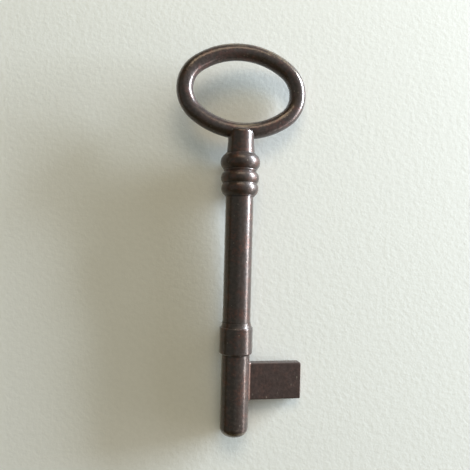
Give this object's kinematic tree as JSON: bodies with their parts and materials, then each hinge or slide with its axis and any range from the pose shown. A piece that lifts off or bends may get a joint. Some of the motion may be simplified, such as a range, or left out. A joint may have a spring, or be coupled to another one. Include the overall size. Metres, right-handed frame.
{
  "type": "door key",
  "caption": "Traditional lever-lock door key with an oval wire bow, turned bead collar, shoulder stop, solid pin and plain uncut bit.",
  "frame": {"origin": "on the stem's axis, in the plane of the shoulder collar's stop face", "axes": "+Y along the stem towards the bow, +X from the stem towards the bit's working edge, +Z square to the flat of the key"},
  "size_m": [0.0378, 0.1114, 0.0114],
  "materials": {
    "bow_bronze": "dark bronze lacquer, lightly rubbed",
    "stem_bronze": "dark bronze lacquer, glossy",
    "bead_bronze": "dark bronze lacquer, glossy",
    "shoulder_bronze": "dark bronze lacquer, glossy",
    "bit_bronze": "dark bronze lacquer over a pitted face",
    "braze": "brazed fillet under the lacquer"
  },
  "bodies": {
    "root": {"bow": "bow_bronze", "stem": "stem_bronze", "bead_collar": "bead_bronze", "shoulder_collar": "shoulder_bronze", "bit": "bit_bronze", "bit_braze": "braze"}
  },
  "joints": []
}
